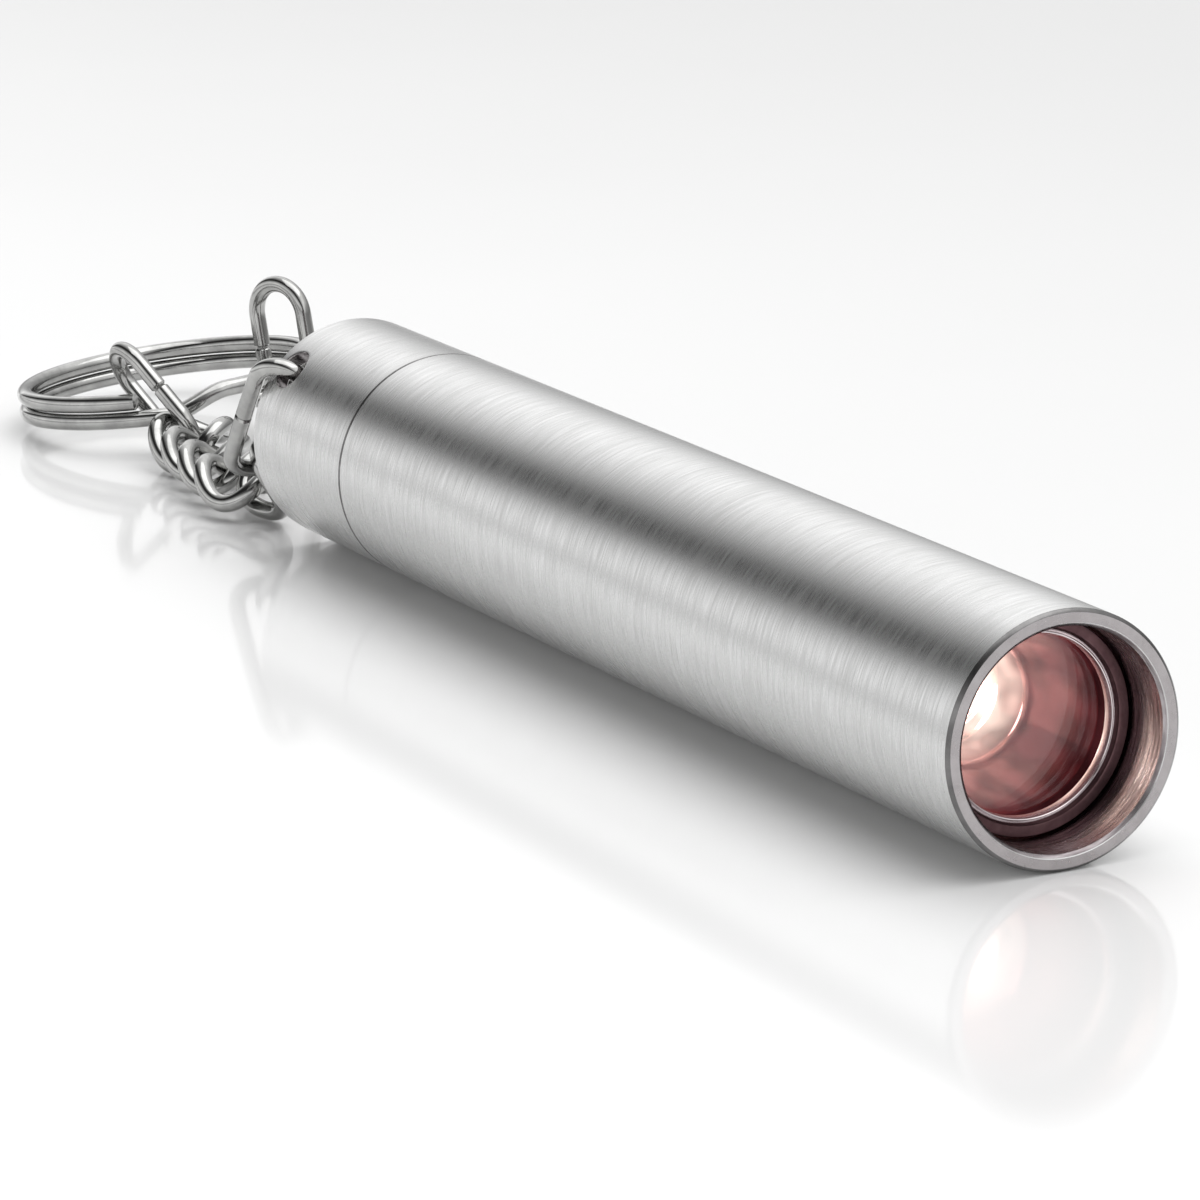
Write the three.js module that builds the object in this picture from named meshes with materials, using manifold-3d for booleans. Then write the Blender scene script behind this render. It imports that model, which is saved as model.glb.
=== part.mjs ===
// A stainless tube flashlight with a tail cap, a curb chain and a split ring.
// Millimetres, +Z up. The tube lies along X: the light leaves towards +X, the chain trails towards -X.
// Inside this file x is measured back from the front rim, and the whole group is moved at the end,
// so that the part's origin is the middle of the bottom of its box.
import * as THREE from "three";
import { mergeVertices } from "three/addons/utils/BufferGeometryUtils.js";
import Module from "manifold-3d";

// ---- Driving dimensions ----
const BODY_RADIUS = 11; // 22 mm tube
const BORE_RADIUS = 9.5; // 1.5 mm wall
const SEAM_X = -114.5; // where the barrel ends and the tail cap begins
const TAIL_X = -134.5; // rear rim of the tail cap
const SEAM_GAP = 0.12;
const EDGE_CHAMFER = 0.3;
const BODY_SIDES = 48; // a flat side faces straight down, so the tube rests on it
const DISC_SIDES = 32; // boards, contacts and other small rounds
const CELL_SIDES = 28;

const RECESS_DEPTH = 5.15; // from the front rim to the lens retaining ring
const WINDOW_RADIUS = 7.7; // clear opening of the retaining ring
const REFLECTOR_FRONT_X = -8.2;
const REFLECTOR_DEPTH = 12;
const REFLECTOR_HOLE_RADIUS = 3.4;
const REFLECTOR_MOUTH_RADIUS = 7.9;
const REFLECTOR_WALL = 0.9;
const REFLECTOR_FLANGE_RADIUS = 9.2;
const REFLECTOR_FLANGE_LENGTH = 1.2;
const WINDOW_RING_LENGTH = 1.2;
const WINDOW_RING_RADIUS = 9.3;
const WINDOW_LIP_RADIUS = 8.1; // the ring steps down by this radius, to its bright inner lip
const WINDOW_LIP_DEPTH = 0.5;
const LENS_FRONT_X = -7;
const LENS_THICKNESS = 1.15;
const LENS_RADIUS = 9.25;
const LED_SIZE = 3.45;
const LED_FACE_X = -20.4;
const LED_DOME_RADIUS = 1.25;
const LED_BOARD_X = -21.1; // front face of the LED's board
const ENGINE_FRONT_X = -22.7; // light-engine housing
const LEDGE_X = -35.5; // the ledge in the barrel that the housing rests on
const LEDGE_LENGTH = 2;
const LEDGE_RADIUS = 8.2;
const DRIVER_X = -33.9; // front face of the driver's board
const LEAD_OFFSET = 6.3; // each lead's distance from the axis
const CELL_FRONT_X = -38.8; // tip of the cell's button
const CELL_REAR_X = -107;
const CELL_RADIUS = 9.2;

const BOSS_FRONT_X = -107.6; // the cap's threaded boss reaches this far into the barrel
const BOSS_RADIUS = 9.15;
const THREAD_CREST_RADIUS = 9.38;
const THREAD_PITCH = 1;
const THREAD_TURNS = 3;
const POCKET_RADIUS = 7; // blind pocket in the boss that holds the tail contact
const POCKET_FLOOR_X = -119;
const CUP_FLOOR_X = -125.5; // floor of the open cup behind the cap's web
const CHAIN_HOLE_X = -131.2;
const CHAIN_HOLE_RADIUS = 2.05;
const CHAIN_HOLE_ANGLE = 47; // degrees round from straight up, towards -Y

const LINK_WIRE_RADIUS = 0.9;
const JUMP_WIRE_RADIUS = 0.85;
const RING_WIRE_RADIUS = 0.9;
const RING_CENTRELINE_RADIUS = 15.5;
const RING_TURN_PITCH = 1.86;
const WIRE_SIDES = 8;
const BUTT_GAP = 0.1; // every link is bent from wire, and its ends almost meet

// ---- Finishes ----
const finish = (color, roughness, metalness) =>
  new THREE.MeshStandardMaterial({ color, roughness, metalness });
const brushedSteel = () => finish(0xb9babb, 0.38, 1);
const polishedSteel = () => finish(0xcfd0d2, 0.12, 1);
const blackMetal = () => finish(0x2a2a2c, 0.45, 0.8);
const mirrorCoat = () => finish(0xe6e6ea, 0.05, 1);
const clearGlass = () => finish(0xe8eef0, 0.05, 0);
const phosphor = () => finish(0xf2e2a0, 0.4, 0);
const whitePlastic = () => finish(0xe4e2da, 0.5, 0);
const blackRubber = () => finish(0x1b1b1c, 0.8, 0);
const brass = () => finish(0xb8954a, 0.35, 1);
const greenBoard = () => finish(0x1f5a3a, 0.5, 0.1);
const whiteBoard = () => finish(0xdedede, 0.45, 0.3);
const blackPlastic = () => finish(0x202124, 0.55, 0);
const redPlastic = () => finish(0xa01f1c, 0.5, 0);
const cellWrap = () => finish(0x2c5f8a, 0.4, 0);
const nickel = () => finish(0xc4c2bb, 0.25, 1);
const fibreCard = () => finish(0xe9e4d4, 0.8, 0);
const springSteel = () => finish(0xd0b060, 0.25, 1);
const ceramic = () => finish(0x9b8a66, 0.5, 0);

const wasm = await Module();
wasm.setup();

const assembly = new THREE.Group();

function addPart(name, geometry, material) {
  geometry.deleteAttribute("uv");
  geometry.deleteAttribute("normal");
  const closed = mergeVertices(geometry, 1e-4);
  closed.computeVertexNormals();
  const mesh = new THREE.Mesh(closed, material);
  mesh.name = name;
  assembly.add(mesh);
  return mesh;
}

// ---- Solids of revolution about the tube's axis ----
// A profile is a list of [x, radius] pairs round the section: clockwise with x to the right and the radius up.
// An outer radius is that of the flat sides, so a round tube of that radius fits inside the facets.
const AXIS_Z = BODY_RADIUS;

function turned(profile, sides = BODY_SIDES, closes = true) {
  const points = profile.map(([x, radius]) => new THREE.Vector2(radius, x));
  if (closes) points.push(points[0].clone());
  const halfSide = Math.PI / sides;
  const solid = new THREE.LatheGeometry(points, sides, halfSide);
  solid.rotateZ(-Math.PI / 2);
  solid.translate(0, 0, AXIS_Z);
  return solid;
}

const overFacets = (radius, sides = BODY_SIDES) => radius / Math.cos(Math.PI / sides);

// A plain washer, tube or ring between two places on the axis.
function sleeve(rearX, frontX, innerRadius, outerRadius, sides = BODY_SIDES) {
  return turned([
    [rearX, innerRadius],
    [rearX, outerRadius],
    [frontX, outerRadius],
    [frontX, innerRadius],
  ], sides);
}

// A solid disc or plug.
function plug(rearX, frontX, radius, sides = DISC_SIDES) {
  return turned([[rearX, 0], [rearX, radius], [frontX, radius], [frontX, 0]], sides, false);
}

// A rubber ring of round section.
function oRing(x, centrelineRadius, wireRadius, sides = 24, sectionSides = 6) {
  const section = [];
  for (let i = 0; i < sectionSides; i++) {
    const turn = (2 * Math.PI * (i + 0.5)) / sectionSides;
    section.push([x - wireRadius * Math.cos(turn), centrelineRadius + wireRadius * Math.sin(turn)]);
  }
  return turned(section, sides);
}

// A box on the tube's axis line, offset across it.
function block(frontX, sizeX, sizeY, sizeZ, y = 0, z = 0) {
  const box = new THREE.BoxGeometry(sizeX, sizeY, sizeZ);
  box.translate(frontX - sizeX / 2, y, AXIS_Z + z);
  return box;
}

// ---- Cutting and joining ----
function toSolid(geometry) {
  const bare = geometry.clone();
  bare.deleteAttribute("uv");
  bare.deleteAttribute("normal");
  const merged = mergeVertices(bare, 1e-4);
  return new wasm.Manifold(new wasm.Mesh({
    numProp: 3,
    vertProperties: merged.attributes.position.array,
    triVerts: new Uint32Array(merged.index.array),
  }));
}

function toGeometry(solid) {
  const mesh = solid.getMesh();
  const geometry = new THREE.BufferGeometry();
  geometry.setAttribute("position", new THREE.BufferAttribute(mesh.vertProperties, 3));
  geometry.setIndex(new THREE.BufferAttribute(mesh.triVerts, 1));
  return geometry;
}

// ---- Round wire along a curve ----
class FormulaCurve extends THREE.Curve {
  constructor(pointAt) {
    super();
    this.pointAt = pointAt;
  }

  getPoint(t, target = new THREE.Vector3()) {
    return target.copy(this.pointAt(t));
  }
}

function wire(pointAt, wireRadius, steps, sides = WIRE_SIDES) {
  const section = new THREE.Shape();
  for (let i = 0; i < sides; i++) {
    const turn = (2 * Math.PI * i) / sides;
    const x = wireRadius * Math.cos(turn);
    const y = wireRadius * Math.sin(turn);
    if (i === 0) section.moveTo(x, y);
    else section.lineTo(x, y);
  }
  section.closePath();
  const extrudePath = new FormulaCurve(pointAt);
  return new THREE.ExtrudeGeometry(section, { steps, bevelEnabled: false, extrudePath });
}

// The centreline of a curb link: an oval in the local XY plane, whose four quarters rise and fall in turn.
function curbLoop({ length, width, lift }) {
  const gapAngle = BUTT_GAP / length;
  return (t) => {
    const turn = Math.PI / 2 + gapAngle + t * 2 * (Math.PI - gapAngle);
    return new THREE.Vector3(
      (length / 2) * Math.cos(turn),
      (width / 2) * Math.sin(turn),
      lift * Math.sin(2 * turn),
    );
  };
}

// The centreline of a straight-sided loop in the local XY plane, from the middle of its +Y side.
// The twist turns the loop about its length, from nothing at its -X end.
function straightLoop({ length, width, twist = 0 }) {
  const bendRadius = width / 2;
  const straight = length - width;
  const bend = Math.PI * bendRadius;
  const perimeter = 2 * (straight + bend);
  const flatPoint = (distance) => {
    let s = distance;
    if (s < straight / 2) return [s, bendRadius];
    s -= straight / 2;
    if (s < bend) return roundEnd(s, 1);
    s -= bend;
    if (s < straight) return [straight / 2 - s, -bendRadius];
    s -= straight;
    if (s < bend) return roundEnd(s, -1);
    s -= bend;
    return [s - straight / 2, bendRadius];
  };
  const roundEnd = (s, end) => {
    const turn = s / bendRadius;
    return [end * (straight / 2 + bendRadius * Math.sin(turn)), end * bendRadius * Math.cos(turn)];
  };
  return (t) => {
    const [u, v] = flatPoint(BUTT_GAP / 2 + t * (perimeter - BUTT_GAP));
    const roll = THREE.MathUtils.degToRad(twist) * (u / length + 0.5);
    return new THREE.Vector3(u, v * Math.cos(roll), v * Math.sin(roll));
  };
}

// Puts a loop in place: its middle, the way its length runs, and roughly the way its width runs.
function place(mesh, centre, along, across) {
  const x = new THREE.Vector3(...along).normalize();
  const y = new THREE.Vector3(...across);
  y.addScaledVector(x, -x.dot(y)).normalize();
  const z = new THREE.Vector3().crossVectors(x, y);
  mesh.quaternion.setFromRotationMatrix(new THREE.Matrix4().makeBasis(x, y, z));
  mesh.position.set(...centre);
}

// ---- Barrel ----
function makeBarrel() {
  const outer = overFacets(BODY_RADIUS);
  addPart("barrel", turned([
    [SEAM_X, BORE_RADIUS],
    [SEAM_X, outer - EDGE_CHAMFER / 2],
    [SEAM_X + EDGE_CHAMFER / 2, outer],
    [-EDGE_CHAMFER, outer],
    [0, outer - EDGE_CHAMFER],
    [0, BORE_RADIUS + EDGE_CHAMFER],
    [-EDGE_CHAMFER, BORE_RADIUS],
    [LEDGE_X, BORE_RADIUS],
    [LEDGE_X, LEDGE_RADIUS],
    [LEDGE_X - LEDGE_LENGTH, LEDGE_RADIUS],
    [LEDGE_X - LEDGE_LENGTH, BORE_RADIUS],
  ]), brushedSteel());
}

// ---- Tail cap: boss with thread and seal groove, a web, and an open cup with the chain hole ----
function makeTailCap() {
  const outer = overFacets(BODY_RADIUS);
  const frontX = SEAM_X - SEAM_GAP;
  const grooveFrontX = frontX + 2.5;
  const grooveRearX = frontX + 1;
  const grooveRadius = 8.15;
  const shell = toSolid(turned([
    [CUP_FLOOR_X, 0],
    [CUP_FLOOR_X, BORE_RADIUS],
    [TAIL_X + EDGE_CHAMFER, BORE_RADIUS],
    [TAIL_X, BORE_RADIUS + EDGE_CHAMFER],
    [TAIL_X, outer - EDGE_CHAMFER],
    [TAIL_X + EDGE_CHAMFER, outer],
    [frontX - EDGE_CHAMFER / 2, outer],
    [frontX, outer - EDGE_CHAMFER / 2],
    [frontX, BOSS_RADIUS],
    [grooveRearX, BOSS_RADIUS],
    [grooveRearX, grooveRadius],
    [grooveFrontX, grooveRadius],
    [grooveFrontX, BOSS_RADIUS],
    [BOSS_FRONT_X - EDGE_CHAMFER, BOSS_RADIUS],
    [BOSS_FRONT_X, BOSS_RADIUS - EDGE_CHAMFER],
    [BOSS_FRONT_X, POCKET_RADIUS],
    [POCKET_FLOOR_X, POCKET_RADIUS],
    [POCKET_FLOOR_X, 0],
  ], BODY_SIDES, false));

  const threadRearX = grooveFrontX + 0.5;
  const ridgeSection = new THREE.Shape([
    new THREE.Vector2(-0.4, -0.45),
    new THREE.Vector2(0.4, -0.45),
    new THREE.Vector2(0, THREAD_CREST_RADIUS - BOSS_RADIUS),
  ]);
  const helix = new FormulaCurve((t) => {
    const turn = t * THREAD_TURNS * 2 * Math.PI;
    return new THREE.Vector3(
      threadRearX + t * THREAD_TURNS * THREAD_PITCH,
      -BOSS_RADIUS * Math.sin(turn),
      AXIS_Z + BOSS_RADIUS * Math.cos(turn),
    );
  });
  const ridge = helicalRidge(ridgeSection, helix, Math.round(THREAD_TURNS * 14));

  const drill = new THREE.CylinderGeometry(CHAIN_HOLE_RADIUS, CHAIN_HOLE_RADIUS, BODY_RADIUS, 16);
  drill.translate(0, BODY_RADIUS, 0);
  drill.rotateX(Math.PI / 2 + THREE.MathUtils.degToRad(CHAIN_HOLE_ANGLE));
  drill.translate(CHAIN_HOLE_X, 0, AXIS_Z);

  const cap = shell.add(toSolid(ridge)).subtract(toSolid(drill));
  addPart("tail_cap", toGeometry(cap), brushedSteel());
}

// A three-sided ridge wound on the boss: each step is the section turned about the tube's axis.
function helicalRidge(section, helix, steps) {
  const corners = section.getPoints().slice(0, 3);
  const positions = [];
  for (let i = 0; i <= steps; i++) {
    const centre = helix.getPoint(i / steps);
    const outward = new THREE.Vector3(0, centre.y, centre.z - AXIS_Z).normalize();
    for (const corner of corners) {
      positions.push(
        centre.x + corner.x,
        centre.y + outward.y * corner.y,
        centre.z + outward.z * corner.y,
      );
    }
  }
  const index = [0, 2, 1];
  for (let i = 0; i < steps; i++) {
    for (let k = 0; k < 3; k++) {
      const a = i * 3 + k;
      const b = i * 3 + ((k + 1) % 3);
      index.push(a, b, a + 3, b, b + 3, a + 3);
    }
  }
  const last = steps * 3;
  index.push(last, last + 1, last + 2);
  const geometry = new THREE.BufferGeometry();
  geometry.setAttribute("position", new THREE.Float32BufferAttribute(positions, 3));
  geometry.setIndex(index);
  return geometry;
}

// ---- Front: retaining ring, seal, lens and reflector ----
function makeFront() {
  const ringFront = -RECESS_DEPTH;
  const ringRear = ringFront - WINDOW_RING_LENGTH;
  addPart("lens_retaining_ring", turned([
    [ringRear, WINDOW_RADIUS],
    [ringRear, WINDOW_RING_RADIUS],
    [ringFront, WINDOW_RING_RADIUS],
    [ringFront, WINDOW_LIP_RADIUS + 0.25],
    [ringFront - WINDOW_LIP_DEPTH, WINDOW_LIP_RADIUS],
    [ringFront - WINDOW_LIP_DEPTH, WINDOW_RADIUS],
  ], 36), blackMetal());
  addPart("lens_o_ring", oRing(ringRear - 0.33, 8.8, 0.3), blackRubber());
  addPart("lens", plug(LENS_FRONT_X - LENS_THICKNESS, LENS_FRONT_X, LENS_RADIUS, BODY_SIDES), clearGlass());
  addPart("reflector", makeReflector(), mirrorCoat());
}

// The bowl is a paraboloid whose rear is cut off by the LED's hole, with a wall and a flange behind it.
function makeReflector() {
  const bowlSteps = 6;
  const flangeRear = REFLECTOR_FRONT_X - REFLECTOR_FLANGE_LENGTH;
  const reflectorRear = REFLECTOR_FRONT_X - REFLECTOR_DEPTH;
  const focal4 = (REFLECTOR_MOUTH_RADIUS ** 2 - REFLECTOR_HOLE_RADIUS ** 2) / REFLECTOR_DEPTH;
  const bowl = [];
  for (let i = 0; i <= bowlSteps; i++) {
    const depth = REFLECTOR_DEPTH * (i / bowlSteps) ** 1.6; // closer together near the hole, where it curves most
    bowl.push([reflectorRear + depth, Math.sqrt(REFLECTOR_HOLE_RADIUS ** 2 + focal4 * depth)]);
  }
  const back = bowl
    .filter(([x], i) => i % 2 === 0 && x < flangeRear)
    .reverse()
    .map(([x, radius]) => [x, radius + REFLECTOR_WALL]);
  return turned([
    ...bowl,
    [REFLECTOR_FRONT_X, REFLECTOR_FLANGE_RADIUS],
    [flangeRear, REFLECTOR_FLANGE_RADIUS],
    ...back,
  ].reverse(), DISC_SIDES);
}

// ---- Light engine: LED on its board, housing, driver, leads and front contact ----
function makeLightEngine() {
  addPart("led_centering_ring", sleeve(LED_BOARD_X + 0.1, -20.3, 2.6, 4.6, DISC_SIDES), whitePlastic());
  addPart("led_package", block(LED_FACE_X, 0.7, LED_SIZE, LED_SIZE), ceramic());
  addPart("led_dome", makeDome(), phosphor());
  addPart("led_board", plug(LED_BOARD_X - 1.5, LED_BOARD_X - 0.01, 8), whiteBoard());
  addPart("light_engine_housing", makeHousing(), brass());

  const postTip = CELL_FRONT_X + 0.1;
  const postRear = DRIVER_X - 1.25;
  addPart("driver_board", plug(DRIVER_X - 1.2, DRIVER_X, 8.2), greenBoard());
  addPart("driver_inductor", block(DRIVER_X + 3.05, 3, 6, 6, 0, 2.6), blackPlastic());
  addPart("driver_chip", block(DRIVER_X + 1.6, 1.5, 5, 4, 0, -3.6), blackPlastic());
  addPart("driver_capacitor_1", block(DRIVER_X + 1.35, 1.3, 1.6, 3.2, 4.6, -3.2), ceramic());
  addPart("driver_capacitor_2", block(DRIVER_X + 1.35, 1.3, 1.6, 3.2, -4.6, -3.2), ceramic());
  addPart("positive_contact_post", turned([
    [postTip, 0],
    [postTip, 1.6],
    [postRear - 0.75, 1.6],
    [postRear - 0.75, 2.8],
    [postRear, 2.8],
    [postRear, 0],
  ], 24, false), brass());
  addPart("led_lead_positive", makeLead(1), redPlastic());
  addPart("led_lead_negative", makeLead(-1), blackPlastic());
}

function makeDome() {
  const domeSteps = 4;
  const base = LED_FACE_X + 0.01;
  const profile = [[base, 0]];
  for (let i = 0; i < domeSteps; i++) {
    const rise = (Math.PI / 2) * (i / domeSteps);
    profile.push([base + LED_DOME_RADIUS * Math.sin(rise), LED_DOME_RADIUS * Math.cos(rise)]);
  }
  profile.push([base + LED_DOME_RADIUS, 0]);
  return turned(profile, 16, false);
}

// A cup that carries the LED's board on its floor and the driver in its mouth, with a hole for each lead.
function makeHousing() {
  const floorRear = ENGINE_FRONT_X - 2.5;
  const mouth = LEDGE_X + 0.05;
  const innerRadius = 8.35;
  const outerRadius = 9.3;
  let cup = toSolid(turned([
    [floorRear, 0],
    [floorRear, innerRadius],
    [mouth, innerRadius],
    [mouth, outerRadius],
    [ENGINE_FRONT_X, outerRadius],
    [ENGINE_FRONT_X, 0],
  ], BODY_SIDES, false));
  for (const side of [-1, 1]) {
    const hole = new THREE.CylinderGeometry(1.1, 1.1, 6, 16);
    hole.rotateZ(Math.PI / 2);
    hole.translate(ENGINE_FRONT_X - 1, side * LEAD_OFFSET, AXIS_Z);
    cup = cup.subtract(toSolid(hole));
  }
  return toGeometry(cup);
}

// A lead leaves the back of the LED's board, goes through the housing and lands on the driver.
function makeLead(side) {
  const start = LED_BOARD_X - 1.55;
  const end = DRIVER_X + 0.05;
  const path = (t) => new THREE.Vector3(
    start + t * (end - start),
    side * (LEAD_OFFSET - 0.9 * Math.sin(Math.PI * t) ** 2 * t),
    AXIS_Z,
  );
  return wire(path, 0.6, 10, 6);
}

// ---- Rechargeable cell ----
function makeCell() {
  const canFront = CELL_FRONT_X - 1.4;
  addPart("battery_can", plug(CELL_REAR_X, canFront, 8.9, CELL_SIDES), nickel());
  addPart("battery_sleeve", turned([
    [CELL_REAR_X - 0.15, 7.6],
    [CELL_REAR_X - 0.15, CELL_RADIUS],
    [canFront + 0.2, CELL_RADIUS],
    [canFront + 0.2, 7.6],
    [canFront + 0.05, 7.6],
    [canFront + 0.05, 8.98],
    [CELL_REAR_X - 0.05, 8.98],
    [CELL_REAR_X - 0.05, 7.6],
  ], CELL_SIDES), cellWrap());
  addPart("battery_insulator_ring", sleeve(canFront + 0.02, canFront + 0.3, 3.5, 7.4, CELL_SIDES), fibreCard());
  addPart("battery_button", turned([
    [canFront + 0.02, 0],
    [canFront + 0.02, 3.2],
    [canFront + 0.5, 3.2],
    [CELL_FRONT_X - 0.2, 2.6],
    [CELL_FRONT_X, 2.3],
    [CELL_FRONT_X, 0],
  ], CELL_SIDES, false), nickel());
}

// ---- Tail seal and contact ----
function makeTailContact() {
  addPart("tail_o_ring", oRing(SEAM_X - SEAM_GAP + 1.75, 8.8, 0.58), blackRubber());
  const discFront = POCKET_FLOOR_X + 1.4;
  addPart("tail_contact_disc", plug(POCKET_FLOOR_X + 0.05, discFront, 6.8), brass());
  addPart("tail_contact_ring", sleeve(discFront + 0.05, discFront + 1.5, 5.2, 6.85, DISC_SIDES), brass());

  const springTurns = 4.5;
  const springRear = discFront + 0.5;
  const springFront = CELL_REAR_X - 0.6;
  const spring = (t) => {
    const turn = t * springTurns * 2 * Math.PI;
    const radius = 4.3 - 1.3 * t;
    return new THREE.Vector3(
      springRear + t * (springFront - springRear),
      radius * Math.sin(turn),
      AXIS_Z + radius * Math.cos(turn),
    );
  };
  addPart("tail_spring", wire(spring, 0.4, springTurns * 12, 5), springSteel());
}

// ---- Chain, jump rings and split ring ----
const CURB_LINK = { length: 8.8, width: 7.5, lift: 1.45 };
const END_LINK = { length: 17.3, width: 5.4, twist: -37 };
const JUMP_RING = { length: 13.2, width: 6.2 };
const HANGER_RING = { length: 13.4, width: 6.6 };

function makeChain() {
  const endLink = addPart(
    "end_link",
    wire(straightLoop(END_LINK), JUMP_WIRE_RADIUS, 32),
    polishedSteel(),
  );
  place(endLink, [-137.8, -7.5, 12.13], [-0.697, 0.071, -0.713], [-0.485, -0.779, 0.397]);

  const curbPlaces = [
    [[-145.33, -4.83, 4.85], [0.957, -0.285, -0.047], [0.079, 0.104, 0.991]],
    [[-150.2, -5.5, 3.2], [0.99, -0.16, 0], [0.16, 0.99, 0]],
    [[-156.9, -4.4, 3.2], [0.99, -0.16, 0], [0.16, 0.99, 0]],
    [[-163.6, -3.3, 3.2], [0.99, -0.16, 0], [0.16, 0.99, 0]],
    [[-169.8, -2, 3.4], [0.96, -0.27, -0.08], [0.28, 0.94, 0.19]],
  ];
  curbPlaces.forEach(([centre, along, across], i) => {
    const link = addPart(
      `chain_link_${i + 1}`,
      wire(curbLoop(CURB_LINK), LINK_WIRE_RADIUS, 24),
      polishedSteel(),
    );
    place(link, centre, along, across);
  });

  const jumpRing = addPart(
    "jump_ring",
    wire(straightLoop(JUMP_RING), JUMP_WIRE_RADIUS, 28),
    polishedSteel(),
  );
  place(jumpRing, [-176.9, -3, 6.1], [0.62, 0.37, -0.69], [0.78, -0.18, 0.6]);

  const hanger = addPart(
    "hanger_ring",
    wire(straightLoop(HANGER_RING), JUMP_WIRE_RADIUS, 28),
    polishedSteel(),
  );
  place(hanger, [-179.7, 13.2, 9.5], [-0.12, -0.09, 0.99], [-0.91, -0.39, -0.14]);
}

// The split ring is one wire wound twice round. Each turn lies flat, and a short step joins them.
function makeSplitRing() {
  const stepStart = 0.93;
  const ends = 0.03;
  const path = (t) => {
    const turns = ends + t * (2 - 2 * ends - (1 - stepStart));
    const turn = turns * 2 * Math.PI;
    const climb = THREE.MathUtils.smoothstep(turns, stepStart, 1);
    return new THREE.Vector3(
      RING_CENTRELINE_RADIUS * Math.cos(turn),
      RING_CENTRELINE_RADIUS * Math.sin(turn),
      RING_TURN_PITCH * (climb - 0.5),
    );
  };
  const ring = addPart("split_ring", wire(path, RING_WIRE_RADIUS, 72), polishedSteel());
  ring.rotation.set(THREE.MathUtils.degToRad(4.5), THREE.MathUtils.degToRad(-5), 0, "XYZ");
  ring.position.set(-190.6, 4.6, 4.6);
}

makeBarrel();
makeTailCap();
makeFront();
makeLightEngine();
makeCell();
makeTailContact();
makeChain();
makeSplitRing();

// The origin is the middle of the bottom of the whole object's box.
const box = new THREE.Box3().setFromObject(assembly, true);
const middle = box.getCenter(new THREE.Vector3());
assembly.position.set(-middle.x, -middle.y, -box.min.z);

const flashlight = new THREE.Group();
flashlight.add(assembly);

export default flashlight;
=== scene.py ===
# Looks for a keychain flashlight: a turned stainless tube with a screw tail cap,
# a curb chain, two jump rings and a split ring, lying on a glossy white table.
# Profiles are in millimetres: x is 0 at the barrel's front rim and falls towards the tail, and r is
# measured from the tube's axis.
import math

import bmesh
import bpy
from mathutils import Matrix, Vector


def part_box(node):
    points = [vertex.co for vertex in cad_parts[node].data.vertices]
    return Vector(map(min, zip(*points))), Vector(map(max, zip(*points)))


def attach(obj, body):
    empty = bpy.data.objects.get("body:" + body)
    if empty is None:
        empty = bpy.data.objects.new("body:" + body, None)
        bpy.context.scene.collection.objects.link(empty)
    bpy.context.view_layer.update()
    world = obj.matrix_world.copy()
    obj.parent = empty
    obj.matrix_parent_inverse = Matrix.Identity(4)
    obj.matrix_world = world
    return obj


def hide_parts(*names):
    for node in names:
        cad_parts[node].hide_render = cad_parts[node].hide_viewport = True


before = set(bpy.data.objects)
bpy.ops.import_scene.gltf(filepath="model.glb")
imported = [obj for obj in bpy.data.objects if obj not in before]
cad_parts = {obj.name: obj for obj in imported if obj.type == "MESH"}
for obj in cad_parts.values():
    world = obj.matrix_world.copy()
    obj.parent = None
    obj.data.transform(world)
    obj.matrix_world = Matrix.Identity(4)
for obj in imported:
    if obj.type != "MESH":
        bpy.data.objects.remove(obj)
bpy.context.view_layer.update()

MM = 0.001
barrel_low, barrel_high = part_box("barrel")
FRONT_X = barrel_high.x
AXIS_Y = (barrel_low.y + barrel_high.y) / 2
AXIS_Z = (barrel_low.z + barrel_high.z) / 2

# ---- Sizes shared with the CAD part ----
BODY_RADIUS = 11.0
BORE_RADIUS = 9.5
BORE_STEP_X = -35.5
BORE_STEP_END_X = -37.5
BORE_STEP_RADIUS = 8.2
SEAM_X = -114.5
CAP_FRONT_X = -114.62
TAIL_X = -134.5
CUP_FLOOR_X = -125.5
POCKET_FLOOR_X = -119.0
POCKET_RADIUS = 7.0
BOSS_FRONT_X = -107.6
BOSS_RADIUS = 9.15
GROOVE_RADIUS = 8.15
GROOVE_START = 1.0
GROOVE_END = 2.5
THREAD_CREST_RADIUS = 9.38
THREAD_TURNS = 3
THREAD_START = 3.0
RECESS_DEPTH = 5.15
WINDOW_RADIUS = 7.7
WINDOW_RING_RADIUS = 9.3
WINDOW_RING_REAR_X = -6.35
REFLECTOR_FRONT_X = -8.2
REFLECTOR_REAR_X = -20.2
REFLECTOR_MOUTH_RADIUS = 7.9
REFLECTOR_HOLE_RADIUS = 3.4
LED_FACE_X = -20.4
DOME_RADIUS = 1.25
CENTRING_REAR_X = -21.0
CENTRING_FRONT_X = -20.3
HOLE_X = -131.2
HOLE_RADIUS = 2.05
HOLE_ANGLE = math.radians(47)
EDGE_BREAK = 0.14

ROUND_SIDES = 160
SMOOTH_BELOW = 28
WIRE_SMOOTH_BELOW = 40


def at(x, y, z):
    """A place in the part's frame, in mm: x from the front rim, y from the tube's axis, z from the table."""
    return Vector((FRONT_X + x * MM, AXIS_Y + y * MM, z * MM))


def on_round(x, radius, angle):
    """A point on a circle about the tube's axis. The angle starts straight up and turns towards -Y."""
    return Vector((
        FRONT_X + x * MM,
        AXIS_Y - radius * math.sin(angle) * MM,
        AXIS_Z + radius * math.cos(angle) * MM,
    ))


# ---- Materials ----
def new_material(name):
    material = bpy.data.materials.new(name)
    material.use_nodes = True
    nodes = material.node_tree.nodes
    return material, nodes, material.node_tree.links, nodes["Principled BSDF"]


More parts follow.
